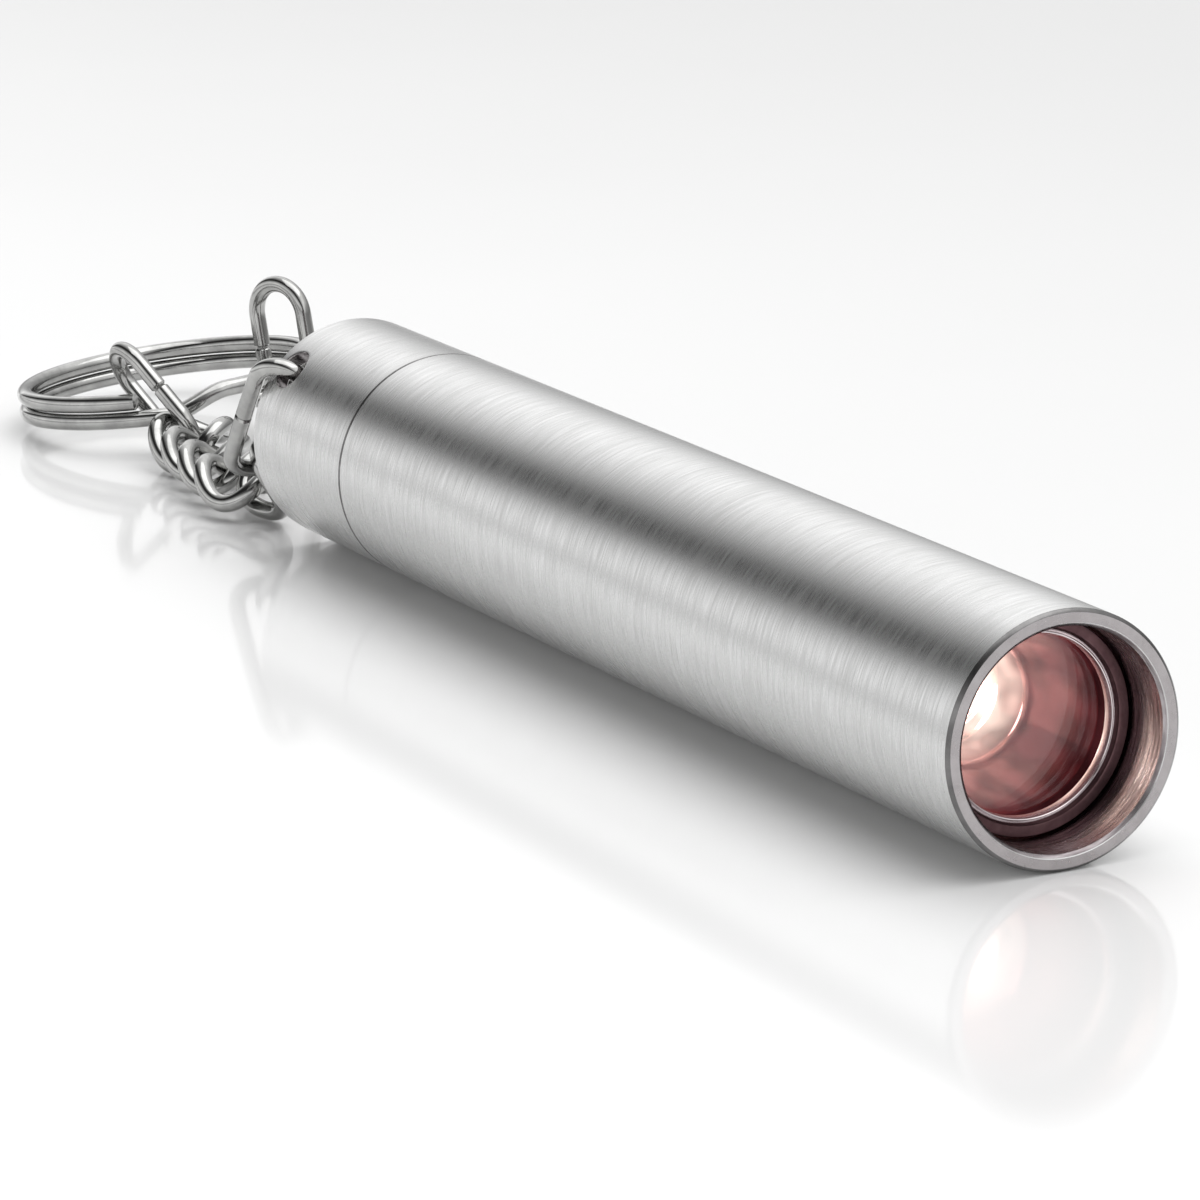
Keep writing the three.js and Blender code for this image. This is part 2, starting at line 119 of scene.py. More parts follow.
def grain(nodes, links, scale, detail=3.0, roughness=0.6):
    """Noise in the part's frame, with its own scale along each axis, in cycles a metre."""
    coordinates = nodes.new("ShaderNodeTexCoord")
    mapping = nodes.new("ShaderNodeMapping")
    mapping.inputs["Scale"].default_value = scale
    noise = nodes.new("ShaderNodeTexNoise")
    noise.inputs["Scale"].default_value = 1.0
    noise.inputs["Detail"].default_value = detail
    noise.inputs["Roughness"].default_value = roughness
    links.new(coordinates.outputs["Object"], mapping.inputs["Vector"])
    links.new(mapping.outputs["Vector"], noise.inputs["Vector"])
    return noise.outputs["Fac"]


def remap(nodes, links, source, low, high, to_low, to_high):
    node = nodes.new("ShaderNodeMapRange")
    node.inputs["From Min"].default_value = low
    node.inputs["From Max"].default_value = high
    node.inputs["To Min"].default_value = to_low
    node.inputs["To Max"].default_value = to_high
    links.new(source, node.inputs["Value"])
    return node.outputs["Result"]


def two_tone(nodes, links, source, low, high, color_low, color_high):
    ramp = nodes.new("ShaderNodeValToRGB")
    ramp.color_ramp.elements[0].position = low
    ramp.color_ramp.elements[0].color = (*color_low, 1)
    ramp.color_ramp.elements[1].position = high
    ramp.color_ramp.elements[1].color = (*color_high, 1)
    links.new(source, ramp.inputs["Fac"])
    return ramp.outputs["Color"]


def set_stops(ramp, stops):
    """Give a colour ramp its (place, colour) stops, in order."""
    ramp.color_ramp.interpolation = "EASE"
    while len(ramp.color_ramp.elements) < len(stops):
        ramp.color_ramp.elements.new(0.5)
    for element, (place, color) in zip(ramp.color_ramp.elements, stops):
        element.position = place
        element.color = (*color, 1)


def bump(nodes, links, shader, source, distance, strength):
    node = nodes.new("ShaderNodeBump")
    node.inputs["Distance"].default_value = distance
    node.inputs["Strength"].default_value = strength
    links.new(source, node.inputs["Height"])
    links.new(node.outputs["Normal"], shader.inputs["Normal"])


def mixed(nodes, links, first, second, share):
    """The first value and a share of the second."""
    node = nodes.new("ShaderNodeMath")
    node.operation = "MULTIPLY_ADD"
    node.inputs[1].default_value = share
    links.new(second, node.inputs[0])
    scaled = nodes.new("ShaderNodeMath")
    scaled.operation = "MULTIPLY"
    scaled.inputs[1].default_value = 1 - share
    links.new(first, scaled.inputs[0])
    links.new(scaled.outputs[0], node.inputs[2])
    return node.outputs[0]


LINES_LOW, LINES_HIGH = 0.35, 0.65
MOTTLE_LOW, MOTTLE_HIGH = 0.3, 0.7


def brushed_steel(name, dark, light, rough_low, rough_high, depth, strength, fine=5200.0):
    """Steel with fine marks that run round the tube: close together along X and long round it."""
    material, nodes, links, shader = new_material(name)
    shader.inputs["Metallic"].default_value = 1.0
    shader.inputs["Anisotropic"].default_value = 0.55
    fine_lines = grain(nodes, links, (fine, 260.0, 260.0), detail=4.0)
    broad_lines = grain(nodes, links, (1900.0, 110.0, 110.0), detail=3.0)
    lines = mixed(nodes, links, fine_lines, broad_lines, 0.30)
    links.new(
        two_tone(nodes, links, lines, LINES_LOW, LINES_HIGH, dark, light),
        shader.inputs["Base Color"],
    )
    links.new(
        remap(nodes, links, lines, LINES_LOW, LINES_HIGH, rough_high, rough_low),
        shader.inputs["Roughness"],
    )
    bump(nodes, links, shader, fine_lines, depth, strength)
    tangent = nodes.new("ShaderNodeTangent")
    tangent.direction_type = "RADIAL"
    tangent.axis = "X"
    links.new(tangent.outputs["Tangent"], shader.inputs["Tangent"])
    return material


def worn(
    name, dark, light, roughness,
    metallic=0.0, scale=(900.0, 900.0, 900.0), depth=2e-5, strength=0.3, spread=0.06,
):
    """A plain material with mottled colour, uneven gloss and a slight surface grain."""
    material, nodes, links, shader = new_material(name)
    shader.inputs["Metallic"].default_value = metallic
    mottle = grain(nodes, links, scale)
    links.new(
        two_tone(nodes, links, mottle, MOTTLE_LOW, MOTTLE_HIGH, dark, light),
        shader.inputs["Base Color"],
    )
    links.new(
        remap(nodes, links, mottle, MOTTLE_LOW, MOTTLE_HIGH, roughness + spread, roughness - spread),
        shader.inputs["Roughness"],
    )
    bump(nodes, links, shader, mottle, depth, strength)
    return material


body_steel = brushed_steel("body_steel", (0.53, 0.53, 0.525), (0.67, 0.67, 0.67), 0.22, 0.33, 5e-6, 0.4)
bore_steel = brushed_steel(
    "bore_steel", (0.17, 0.145, 0.15), (0.55, 0.52, 0.53), 0.16, 0.36, 2e-5, 1.0, fine=3200.0,
)
# Painted shade: a dark steel colour on the broken edges at the seam and the front rim, so that they read as
# dark lines.
edge_painted_shade = worn(
    "edge_painted_shade", (0.13, 0.127, 0.127), (0.20, 0.196, 0.196), 0.24,
    metallic=1.0, scale=(500.0, 500.0, 500.0), depth=4e-6, strength=0.2,
)
face_steel = worn(
    "face_steel", (0.41, 0.385, 0.39), (0.47, 0.445, 0.45), 0.26,
    metallic=1.0, scale=(500.0, 500.0, 500.0), depth=4e-6, strength=0.2,
)
chrome_wire = worn(
    "chrome_wire", (0.31, 0.31, 0.305), (0.45, 0.45, 0.44), 0.13,
    metallic=1.0, scale=(420.0, 420.0, 420.0), depth=6e-6, strength=0.35, spread=0.045,
)
bright_lip = worn(
    "bright_lip", (0.62, 0.56, 0.57), (0.8, 0.74, 0.75), 0.16,
    metallic=1.0, scale=(1500.0, 400.0, 400.0), depth=6e-6,
)
# Painted shade and painted red glow: the window ring is coloured a dark maroon for the shade in the recess and
# the lamp's red light.
ring_painted_shade_and_glow = worn(
    "ring_painted_shade_and_glow", (0.085, 0.045, 0.05), (0.15, 0.085, 0.09), 0.34,
    metallic=1.0, scale=(2600.0, 500.0, 500.0), depth=8e-6, strength=0.4,
)
black_rubber = worn(
    "black_rubber", (0.012, 0.012, 0.012), (0.03, 0.03, 0.03), 0.62, scale=(3000.0, 3000.0, 3000.0),
)
brass = worn(
    "brass", (0.52, 0.36, 0.14), (0.74, 0.55, 0.26), 0.28,
    metallic=1.0, scale=(2400.0, 600.0, 600.0), depth=8e-6, strength=0.4,
)
gold_spring = worn("gold_spring", (0.7, 0.52, 0.2), (0.88, 0.7, 0.34), 0.2, metallic=1.0)
board_white = worn("board_white", (0.66, 0.66, 0.65), (0.82, 0.82, 0.8), 0.42)
board_green = worn("board_green", (0.012, 0.10, 0.05), (0.03, 0.17, 0.09), 0.36)
component_black = worn("component_black", (0.012, 0.012, 0.013), (0.035, 0.035, 0.037), 0.5)
ceramic = worn("ceramic", (0.36, 0.26, 0.14), (0.5, 0.38, 0.22), 0.45)
lead_red = worn("lead_red", (0.34, 0.02, 0.015), (0.5, 0.04, 0.03), 0.4)
lead_black = worn("lead_black", (0.014, 0.014, 0.014), (0.04, 0.04, 0.04), 0.4)
cell_wrap = worn(
    "cell_wrap", (0.02, 0.08, 0.19), (0.04, 0.14, 0.3), 0.3, scale=(500.0, 120.0, 120.0),
)
nickel = worn(
    "nickel", (0.6, 0.585, 0.55), (0.76, 0.745, 0.71), 0.24,
    metallic=1.0, scale=(1600.0, 300.0, 300.0), depth=6e-6,
)
fibre_card = worn("fibre_card", (0.7, 0.66, 0.52), (0.85, 0.81, 0.68), 0.8)


def lamp_light_and_painted_glow(name, dark, light, roughness, metallic, glow, reach, scale, strength=1.0):
    """A material that glows unevenly: the lamp's own light on the phosphor, and painted glow on pieces that are
    no lamp.
    The glow's (place, colour) stops run along X from one end of reach to the other."""
    material, nodes, links, shader = new_material(name)
    shader.inputs["Metallic"].default_value = metallic
    mottle = grain(nodes, links, scale)
    links.new(
        two_tone(nodes, links, mottle, MOTTLE_LOW, MOTTLE_HIGH, dark, light),
        shader.inputs["Base Color"],
    )
    links.new(
        remap(nodes, links, mottle, MOTTLE_LOW, MOTTLE_HIGH, roughness * 1.4, roughness * 0.6),
        shader.inputs["Roughness"],
    )
    coordinates = nodes.new("ShaderNodeTexCoord")
    parts = nodes.new("ShaderNodeSeparateXYZ")
    links.new(coordinates.outputs["Object"], parts.inputs["Vector"])
    share = remap(
        nodes, links, parts.outputs["X"],
        FRONT_X + reach[0] * MM, FRONT_X + reach[1] * MM, 0.0, 1.0,
    )
    ramp = nodes.new("ShaderNodeValToRGB")
    set_stops(ramp, glow)
    links.new(share, ramp.inputs["Fac"])
    links.new(ramp.outputs["Color"], shader.inputs["Emission Color"])
    # Patches of brighter and dimmer glow; on the reflector they are painted reflections.
    patches = grain(nodes, links, (260.0, 260.0, 260.0), detail=1.0)
    links.new(
        remap(nodes, links, patches, 0.42, 0.60, strength * 0.6, strength * 1.5),
        shader.inputs["Emission Strength"],
    )
    return material


# Painted light: the reflector's colour is darkened to maroon and the bowl glows, cream by the lamp and maroon
# towards the mouth, with brighter patches, in place of the lamp's light and its reflections.
mirror_painted_glow = lamp_light_and_painted_glow(
    "mirror_painted_glow", (0.17, 0.075, 0.075), (0.27, 0.135, 0.135), 0.05, 1.0,
    [
        (0.0, (1.1, 0.95, 0.82)), (0.24, (0.62, 0.47, 0.40)),
        (0.42, (0.10, 0.026, 0.028)), (1.0, (0.045, 0.009, 0.011)),
    ],
    (REFLECTOR_REAR_X, REFLECTOR_FRONT_X), (500.0, 500.0, 500.0),
)
# Painted light: the centring ring and the lamp's package glow, though only the phosphor gives light.
centring_ring_painted_glow = lamp_light_and_painted_glow(
    "centring_ring_painted_glow", (0.6, 0.5, 0.46), (0.8, 0.7, 0.64), 0.4, 0.0,
    [(0.0, (0.6, 0.42, 0.34)), (1.0, (1.1, 0.85, 0.72))],
    (CENTRING_REAR_X, CENTRING_FRONT_X), (1500.0, 1500.0, 1500.0),
)
package_painted_glow = lamp_light_and_painted_glow(
    "package_painted_glow", (0.5, 0.4, 0.25), (0.68, 0.56, 0.36), 0.4, 0.0,
    [(0.0, (0.9, 0.62, 0.45)), (1.0, (1.4, 1.1, 0.85))],
    (-21.1, LED_FACE_X), (1500.0, 1500.0, 1500.0),
)
lamp_phosphor = lamp_light_and_painted_glow(
    "lamp_phosphor", (0.9, 0.8, 0.5), (1.0, 0.92, 0.7), 0.3, 0.0,
    [(0.0, (1.0, 0.90, 0.80)), (1.0, (1.0, 0.96, 0.90))],
    (LED_FACE_X, -19.1), (2200.0, 2200.0, 2200.0), strength=18.0,
)

lens_glass, glass_nodes, glass_links, glass_shader = new_material("lens_glass")
glass_shader.inputs["Transmission Weight"].default_value = 1.0
glass_shader.inputs["IOR"].default_value = 1.46
glass_shader.inputs["Base Color"].default_value = (0.98, 0.985, 0.985, 1)
smear = grain(glass_nodes, glass_links, (300.0, 300.0, 300.0))
glass_links.new(
    remap(glass_nodes, glass_links, smear, 0.4, 0.8, 0.0, 0.012),
    glass_shader.inputs["Roughness"],
)


# ---- Mesh building ----
def finish_mesh(name, bm, materials, body, nodes, sharp=SMOOTH_BELOW):
    """Turn a mesh into a piece on its body, in place of the nodes named. Edges over sharp degrees stay hard."""
    bmesh.ops.remove_doubles(bm, verts=bm.verts, dist=1e-7)
    bmesh.ops.recalc_face_normals(bm, faces=bm.faces)
    mesh = bpy.data.meshes.new(name)
    bm.to_mesh(mesh)
    bm.free()
    mesh.shade_smooth()
    mesh.set_sharp_from_angle(angle=math.radians(sharp))
    for material in materials:
        mesh.materials.append(material)
    piece = bpy.data.objects.new(name, mesh)
    bpy.context.scene.collection.objects.link(piece)
    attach(piece, body)
    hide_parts(*nodes)


def revolve(bm, profile, angles, skip=(), material=0):
    """Faces between neighbouring profile points, all the way round. skip holds columns left open."""
    count = len(angles)
    rings = [
        [bm.verts.new(on_round(x, r, a)) for a in angles] if r > 0 else [bm.verts.new(on_round(x, 0, 0))]
        for x, r in profile
    ]
    for lower, upper in zip(rings, rings[1:]):
        for k in range(count):
            if k in skip:
                continue
            following = (k + 1) % count
            corners = [lower[k % len(lower)], lower[following % len(lower)],
                       upper[following % len(upper)], upper[k % len(upper)]]
            corners = list(dict.fromkeys(corners))
            if len(corners) > 2:
                bm.faces.new(corners).material_index = material


def even_angles(count, start=0.0):
    return [start + 2 * math.pi * k / count for k in range(count)]


def turned(
    name, profile, materials, body, nodes,
    pick=None, sides=ROUND_SIDES, closes=True, sharp=SMOOTH_BELOW,
):
    """A solid of revolution. pick chooses each profile step's material from its two ends."""
    bm = bmesh.new()
    loop = [*profile, profile[0]] if closes else profile
    angles = even_angles(sides)
    for start, end in zip(loop, loop[1:]):
        revolve(bm, [start, end], angles, material=pick(start, end) if pick else 0)
    finish_mesh(name, bm, materials, body, nodes, sharp)


def rounded(profile, radius, steps=3):
    """The profile with each corner cut back by radius and turned in a few steps."""
    result = []
    count = len(profile)
    for i, corner in enumerate(profile):
        here = Vector(corner)
        before, after = Vector(profile[i - 1]), Vector(profile[(i + 1) % count])
        back = min(radius, (before - here).length * 0.4)
        on = min(radius, (after - here).length * 0.4)
        start = here + (before - here).normalized() * back
        end = here + (after - here).normalized() * on
        for k in range(steps + 1):
            t = k / steps
            point = start * (1 - t) ** 2 + here * 2 * t * (1 - t) + end * t ** 2
            result.append((point.x, point.y))
    return result


def tube_along(name, points, radius, material, body, node, sides, closed=False):
    """Round wire along a line of points, with its frame carried along so that it doesn't twist.
    The ends of a wire that isn't closed are chamfered by a quarter of its radius."""
    bm = bmesh.new()
    count = len(points)
    tangents = []
    for i in range(count):
        after = points[(i + 1) % count] if closed else points[min(i + 1, count - 1)]
        before = points[i - 1] if closed or i else points[0]
        tangents.append((after - before).normalized())
    side = tangents[0].orthogonal().normalized()
    sides_at = [side]
    for i in range(1, count):
        side = tangents[i - 1].rotation_difference(tangents[i]) @ side
        sides_at.append((side - tangents[i] * side.dot(tangents[i])).normalized())
    slip = 0.0
    if closed:
        last = tangents[-1].rotation_difference(tangents[0]) @ sides_at[-1]
        slip = math.atan2(last.dot(tangents[0].cross(sides_at[0])), last.dot(sides_at[0]))

    def ring(centre, tangent, side, size, turn=0.0):
        other = tangent.cross(side)
        return [
            bm.verts.new(centre + (side * math.cos(a) + other * math.sin(a)) * size)
            for a in (2 * math.pi * k / sides + turn for k in range(sides))
        ]

    rings = [ring(points[i], tangents[i], sides_at[i], radius, -slip * i / count) for i in range(count)]
    if not closed:
        step = radius * 0.25
        rings.insert(0, ring(points[0], tangents[0], sides_at[0], radius - step))
        rings.append(ring(points[-1], tangents[-1], sides_at[-1], radius - step))
        for vertex in rings[1]:
            vertex.co += tangents[0] * step
        for vertex in rings[-2]:
            vertex.co -= tangents[-1] * step
    pairs = list(zip(rings, rings[1:]))
    if closed:
        pairs.append((rings[-1], rings[0]))
    for lower, upper in pairs:
        for k in range(sides):
            following = (k + 1) % sides
            bm.faces.new((lower[k], lower[following], upper[following], upper[k]))
    if not closed:
        bm.faces.new(rings[0])
        bm.faces.new(rings[-1])
    finish_mesh(name, bm, [material], body, [node], WIRE_SMOOTH_BELOW)


# ---- Barrel ----
STEELS = [body_steel, bore_steel, face_steel, edge_painted_shade]
OUTSIDE, BORE, FACE, PAINTED_SHADE_EDGE = range(4)


def barrel_steel(start, end):
    """The outside is brushed, the bore is machined, the front rim is smooth and the broken edges get painted
    shade: a dark steel colour that draws the seam and the rim's edge as dark lines.
    """
    if start[0] == end[0] == 0:
        return FACE
    if BORE_RADIUS + 1 < min(start[1], end[1]) < BODY_RADIUS:
        return PAINTED_SHADE_EDGE
    return BORE if max(start[1], end[1]) < BORE_RADIUS + 0.3 else OUTSIDE


turned(
    "barrel_tube",
    [
        (SEAM_X, BORE_RADIUS), (SEAM_X, 10.74), (SEAM_X + 0.05, 10.9), (SEAM_X + EDGE_BREAK, BODY_RADIUS),
        (-0.34, BODY_RADIUS), (-0.27, 10.97), (-0.05, 10.75), (0.0, 10.68),
        (0.0, 9.84), (-0.05, 9.77), (-0.24, 9.56), (-0.32, BORE_RADIUS),
        (BORE_STEP_X, BORE_RADIUS), (BORE_STEP_X, BORE_STEP_RADIUS),
        (BORE_STEP_END_X, BORE_STEP_RADIUS), (BORE_STEP_END_X, BORE_RADIUS),
    ],
    STEELS, "barrel", ["barrel"], barrel_steel, sides=256,
)


# ---- Tail cap, with the chain hole in its wall ----
PATCH_COLUMNS = 8
PATCH_HALF_X = 3.0
HOLE_EDGE_BREAK = 0.14


def tail_cap():
    bm = bmesh.new()
    step = 2 * math.pi / ROUND_SIDES
    angles = even_angles(ROUND_SIDES, HOLE_ANGLE)
    rows = [HOLE_X + PATCH_HALF_X * (1 - k / PATCH_COLUMNS) for k in range(2 * PATCH_COLUMNS + 1)]
    open_columns = [k % ROUND_SIDES for k in range(-PATCH_COLUMNS, PATCH_COLUMNS)]
    revolve(bm, [
        (CUP_FLOOR_X, 0), (CUP_FLOOR_X, 3), (CUP_FLOOR_X, 6), (CUP_FLOOR_X, 9.2),
        (CUP_FLOOR_X - 0.1, 9.42), (CUP_FLOOR_X - 0.3, BORE_RADIUS), (rows[0], BORE_RADIUS),
    ], angles, material=BORE)
    revolve(bm, [(x, BORE_RADIUS) for x in rows], angles, open_columns, BORE)
    revolve(bm, [
        (rows[-1], BORE_RADIUS), (TAIL_X + 0.05, 9.72), (TAIL_X, 9.8),
        (TAIL_X, 10.7), (TAIL_X + 0.05, 10.8), (rows[-1], BODY_RADIUS),
    ], angles, material=FACE)
    revolve(bm, [(x, BODY_RADIUS) for x in reversed(rows)], angles, open_columns)
    revolve(bm, [(rows[0], BODY_RADIUS), (CAP_FRONT_X - EDGE_BREAK, BODY_RADIUS)], angles)
    # The cap's broken front edge at the seam takes the painted shade too.
    revolve(bm, [
        (CAP_FRONT_X - EDGE_BREAK, BODY_RADIUS), (CAP_FRONT_X - 0.05, 10.9),
        (CAP_FRONT_X, 10.74), (CAP_FRONT_X, 9.3),
    ], angles, material=PAINTED_SHADE_EDGE)
    revolve(bm, [
        (CAP_FRONT_X, 9.3), (CAP_FRONT_X + 0.05, BOSS_RADIUS),
        (CAP_FRONT_X + GROOVE_START, BOSS_RADIUS), (CAP_FRONT_X + GROOVE_START, GROOVE_RADIUS),
        (CAP_FRONT_X + GROOVE_END, GROOVE_RADIUS), (CAP_FRONT_X + GROOVE_END, BOSS_RADIUS),
        (BOSS_FRONT_X - 0.3, BOSS_RADIUS), (BOSS_FRONT_X, BOSS_RADIUS - 0.3),
        (BOSS_FRONT_X, POCKET_RADIUS), (POCKET_FLOOR_X, POCKET_RADIUS), (POCKET_FLOOR_X, 0),
    ], angles, material=BORE)

    def patch_rim():
        """The (x, column) steps from the hole's middle to each corner round the square patch, in order."""
        n = PATCH_COLUMNS
        rim = [(n, k) for k in range(-n, n)]
        rim += [(-k, n) for k in range(-n, n)]
        rim += [(-n, -k) for k in range(-n, n)]
        rim += [(k, -n) for k in range(-n, n)]
        return rim

    def patch(radius, material):
        """The wall round the hole at one radius: rings that pass from a circle to the square."""
        rings = []
        for share in (0.0, 0.15, 0.4, 0.7, 1.0):
            ring = []
            for i, k in patch_rim():
                u = PATCH_HALF_X * i / PATCH_COLUMNS
                w = radius * math.sin(k * step)
                reach = math.hypot(u, w)
                edge = HOLE_RADIUS + HOLE_EDGE_BREAK
                round_u, round_w = u / reach * edge, w / reach * edge
                u, w = round_u + (u - round_u) * share, round_w + (w - round_w) * share
                ring.append(bm.verts.new(on_round(HOLE_X + u, radius, HOLE_ANGLE + math.asin(w / radius))))
            rings.append(ring)
        bridge(rings, material)
        return rings[0]

    def bridge(rings, material):
        for lower, upper in zip(rings, rings[1:]):
            count = len(lower)
            for k in range(count):
                corners = (lower[k], lower[(k + 1) % count], upper[(k + 1) % count], upper[k])
                bm.faces.new(corners).material_index = material

    outer_edge = patch(BODY_RADIUS, OUTSIDE)
    inner_edge = patch(BORE_RADIUS, BORE)
    wall = [outer_edge]
    for sunk, spread in ((0.03, 0.06), (0.12, 0.0), (0.5, 0.0), (1.0, 0.0), (1.38, 0.0), (1.47, 0.06)):
        ring = []
        for i, k in patch_rim():
            u = PATCH_HALF_X * i / PATCH_COLUMNS
            w = BODY_RADIUS * math.sin(k * step)
            scale = (HOLE_RADIUS + spread) / math.hypot(u, w)
            level = BODY_RADIUS - sunk
            angle = HOLE_ANGLE + math.asin(w * scale / level)
            ring.append(bm.verts.new(on_round(HOLE_X + u * scale, level, angle)))
        wall.append(ring)
    wall.append(inner_edge)
    bridge(wall, FACE)
    finish_mesh("tail_cap_shell", bm, STEELS, "tail_cap", ["tail_cap"])


tail_cap()


def thread_ridge():
    """The helical ridge on the cap's boss, which rises and falls away over a sixth of a turn."""
    bm = bmesh.new()
    steps = THREAD_TURNS * 72
    fade_steps = 12
    rear = CAP_FRONT_X + THREAD_START
    rings = []
    for i in range(steps + 1):
        turn = 2 * math.pi * THREAD_TURNS * i / steps
        x = rear + THREAD_TURNS * i / steps
        fade = min(1.0, i / fade_steps, (steps - i) / fade_steps)
        crest = BOSS_RADIUS - 0.2 + (THREAD_CREST_RADIUS - BOSS_RADIUS + 0.2) * fade
        section = ((-0.38, BOSS_RADIUS - 0.4), (-0.06, crest), (0.06, crest), (0.38, BOSS_RADIUS - 0.4))
        rings.append([bm.verts.new(on_round(x + dx, radius, turn)) for dx, radius in section])
    for lower, upper in zip(rings, rings[1:]):
        for k in range(4):
            bm.faces.new((lower[k], lower[(k + 1) % 4], upper[(k + 1) % 4], upper[k]))
    bm.faces.new(rings[0])
    bm.faces.new(rings[-1])
    finish_mesh(
        "tail_cap_thread", bm, [bore_steel], "tail_cap", ["tail_cap"], WIRE_SMOOTH_BELOW,
    )


thread_ridge()


# ---- Window: retaining ring with its bright lip, and the seals ----
LIP_RADIUS = 8.2


def ring_finish(start, end):
    """The ring is dark maroon, painted shade and painted red glow from the lamp, and its inner lip is bright.
    """
    return 1 if max(start[1], end[1]) < LIP_RADIUS else 0


turned(
    "window_ring",
    [
        (WINDOW_RING_REAR_X, WINDOW_RADIUS), (WINDOW_RING_REAR_X, WINDOW_RING_RADIUS),
        (-5.25, WINDOW_RING_RADIUS), (-RECESS_DEPTH, 9.2),
        (-RECESS_DEPTH, 8.5), (-5.2, 8.36), (-5.6, 8.16), (-5.68, 8.08), (-5.60, 8.0),
        (-5.44, 7.95), (-5.40, 7.88), (-5.44, 7.8), (-5.62, 7.74), (-5.72, WINDOW_RADIUS),
    ],
    [ring_painted_shade_and_glow, bright_lip], "barrel", ["lens_retaining_ring"], ring_finish, sides=192,
)


SEAL_RADIUS = 8.8


def seal(name, x, wire, body, node, sides):
    """A rubber ring about the tube's axis."""
    line = [on_round(x, SEAL_RADIUS, a) for a in even_angles(128)]
    tube_along(name, line, wire * MM, black_rubber, body, node, sides, closed=True)


seal("window_seal", -6.68, 0.3, "barrel", "lens_o_ring", 12)
seal("cap_seal", CAP_FRONT_X + (GROOVE_START + GROOVE_END) / 2, 0.58, "tail_cap", "tail_o_ring", 16)


# ---- Reflector: a deep smooth bowl with two shallow steps, and a grooved neck ----
SHALLOW_STEPS = ((4.3, 0.16), (1.6, 0.12))
STEP_HALF = 0.35
NECK_LENGTH = 1.1
NECK_GROOVE = 0.07
NECK_PITCH = 0.36
BOWL_WALL = 0.85
FLANGE_RADIUS = 9.2


def reflector():
    depth = REFLECTOR_FRONT_X - REFLECTOR_REAR_X
    spread = (REFLECTOR_MOUTH_RADIUS ** 2 - REFLECTOR_HOLE_RADIUS ** 2) / depth
    bowl = []
    steps = 44
    for i in range(steps + 1):
        along = depth * (i / steps) ** 1.5
        radius = math.sqrt(REFLECTOR_HOLE_RADIUS ** 2 + spread * along)
        for step_at, rise in SHALLOW_STEPS:
            radius -= rise * max(0.0, 1 - abs(along - step_at - STEP_HALF) / STEP_HALF)
        if along < NECK_LENGTH:
            radius -= NECK_GROOVE * (1 + math.cos(2 * math.pi * along / NECK_PITCH)) / 2
        bowl.append((REFLECTOR_REAR_X + along, radius))
    back = [(x, r + BOWL_WALL) for x, r in bowl if x < REFLECTOR_FRONT_X - 1.5][::-4]
    flange = [(REFLECTOR_FRONT_X, FLANGE_RADIUS), (REFLECTOR_FRONT_X - 1.2, FLANGE_RADIUS)]
    profile = [*bowl, *flange, *back]
    # The bowl carries the painted glow and painted reflections.
    turned("reflector_bowl", profile, [mirror_painted_glow], "barrel", ["reflector"], sharp=50)


reflector()


# ---- Lamp ----
turned(
    "centring_ring_painted_glow",
    rounded([
        (CENTRING_REAR_X, 2.6), (CENTRING_REAR_X, 4.6),
        (CENTRING_FRONT_X, 4.6), (CENTRING_FRONT_X, 3.1), (-20.5, 2.6),
    ], 0.08),
    [centring_ring_painted_glow], "barrel", ["led_centering_ring"], sides=96,
)

DOME_BASE_X = LED_FACE_X + 0.01
DOME_STEPS = 14
dome = [(DOME_BASE_X, 0), (DOME_BASE_X, DOME_RADIUS)]
for i in range(1, DOME_STEPS + 1):
    rise = math.pi / 2 * i / DOME_STEPS
    dome.append((
        DOME_BASE_X + DOME_RADIUS * math.sin(rise),
        DOME_RADIUS * math.cos(rise) if i < DOME_STEPS else 0,
    ))
turned(
    "lamp_dome", dome, [lamp_phosphor], "barrel", ["led_dome"],
    sides=48, closes=False, sharp=60,
)


def lamp_package():
    """A square ceramic package with clipped edges."""
    low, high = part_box("led_package")
    bm = bmesh.new()
    bmesh.ops.create_cube(bm, size=1.0)
    size, middle = high - low, (high + low) / 2
    for vertex in bm.verts:
        vertex.co = Vector(c * s for c, s in zip(vertex.co, size)) + middle
    bmesh.ops.bevel(bm, geom=list(bm.edges), offset=0.12 * MM, segments=2, affect="EDGES", profile=0.5)
    finish_mesh("lamp_package", bm, [package_painted_glow], "barrel", ["led_package"])


lamp_package()


# ---- Chain ----
WIRE_SIDES = 24
LINK_WIRE = 0.9
JUMP_WIRE = 0.85
BUTT_GAP = 0.1


def curb_loop(length, width, lift, steps=96):
    """An oval loop with a butt gap in its +Y side. Its four quarters rise and sink by lift in turn."""
    opening = BUTT_GAP / length
    points = []
    for i in range(steps + 1):
        turn = math.pi / 2 + opening + i / steps * 2 * (math.pi - opening)
        points.append(Vector((
            length / 2 * math.cos(turn),
            width / 2 * math.sin(turn),
            lift * math.sin(2 * turn),
        )))
    return points


